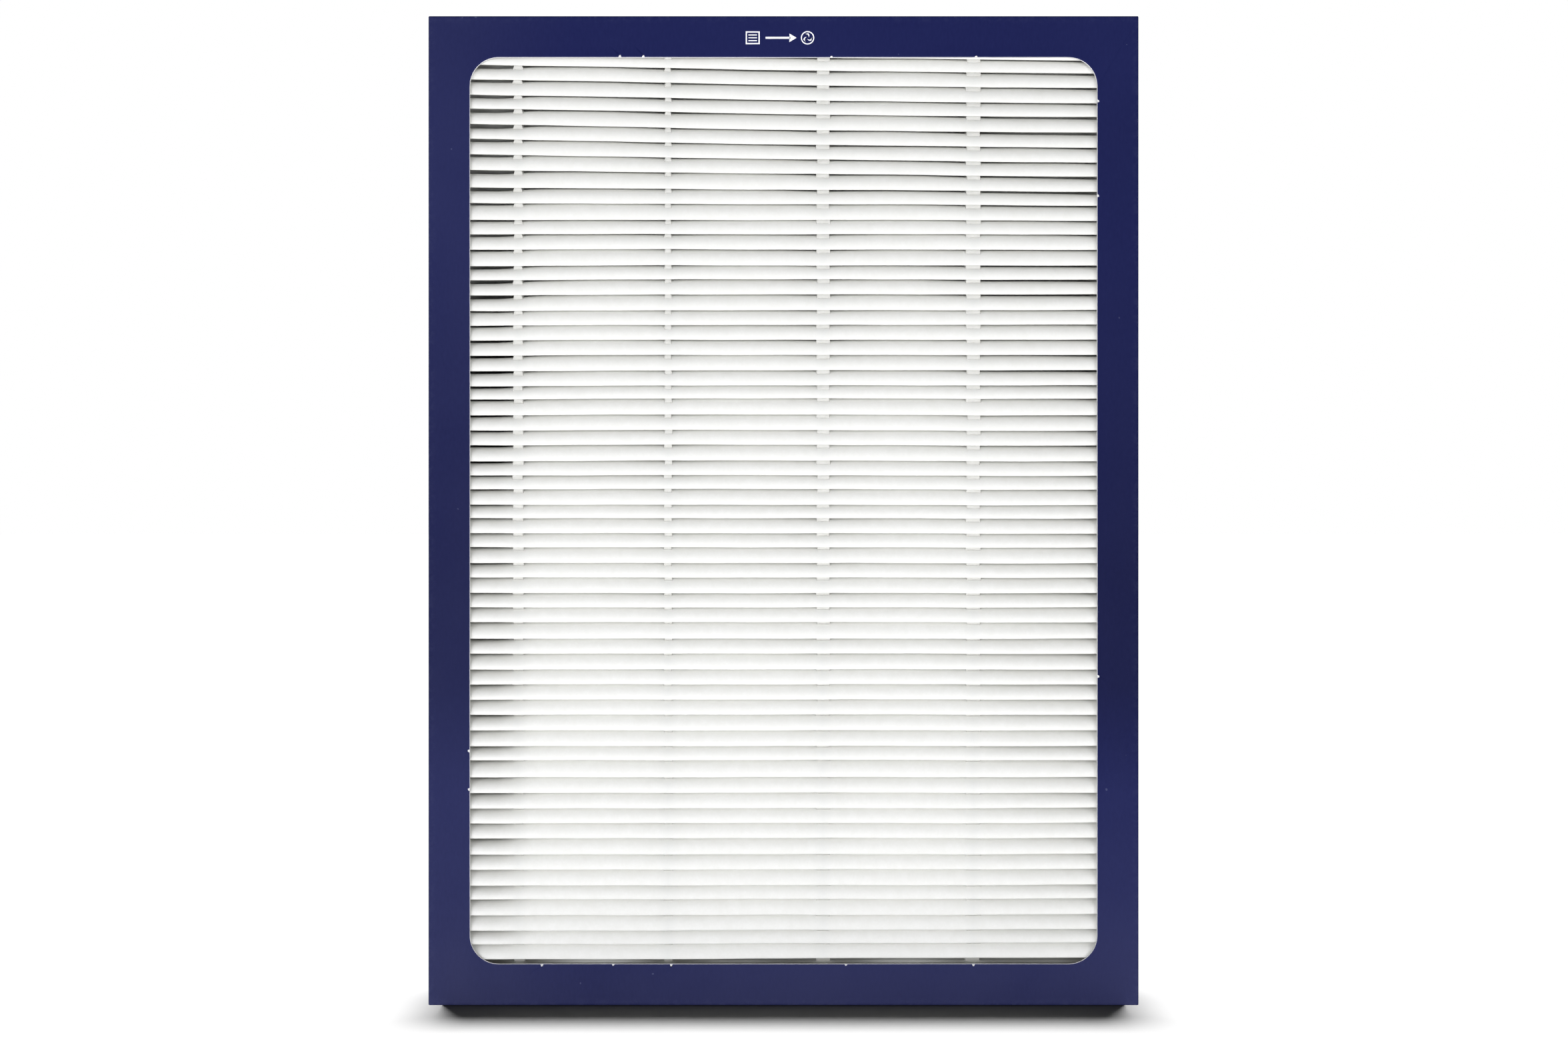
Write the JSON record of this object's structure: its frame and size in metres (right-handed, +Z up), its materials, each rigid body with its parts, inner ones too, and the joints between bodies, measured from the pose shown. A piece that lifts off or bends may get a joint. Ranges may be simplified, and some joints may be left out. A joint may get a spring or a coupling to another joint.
{
  "type": "pleated air filter cartridge",
  "caption": "Flat rectangular particle filter for a room air purifier: a white pleated pack with glue spacer lines in a navy board frame with a rounded window on each side.",
  "frame": {"origin": "middle of the underside that the cartridge stands on", "axes": "+Z up along the long side, +Y through the depth towards the rear, +X along the width; the printed side that faces the fan looks towards -Y"},
  "size_m": [0.3, 0.06, 0.418],
  "materials": {
    "navy_board": "satin",
    "filter_paper": "matte",
    "spacer_glue": "satin",
    "sealing_glue": "satin"
  },
  "bodies": {
    "root": {"front_tray": "navy_board", "rear_tray": "navy_board", "pleated_media": "filter_paper", "front_bead_1": "spacer_glue", "rear_bead_1": "spacer_glue", "front_bead_2": "spacer_glue", "rear_bead_2": "spacer_glue", "front_bead_3": "spacer_glue", "rear_bead_3": "spacer_glue", "front_bead_4": "spacer_glue", "rear_bead_4": "spacer_glue", "left_edge_seal": "sealing_glue", "right_edge_seal": "sealing_glue", "bottom_end_seal": "sealing_glue", "top_end_seal": "sealing_glue", "left_wall_glue": "sealing_glue", "right_wall_glue": "sealing_glue", "bottom_wall_glue": "sealing_glue", "top_wall_glue": "sealing_glue"}
  },
  "joints": []
}
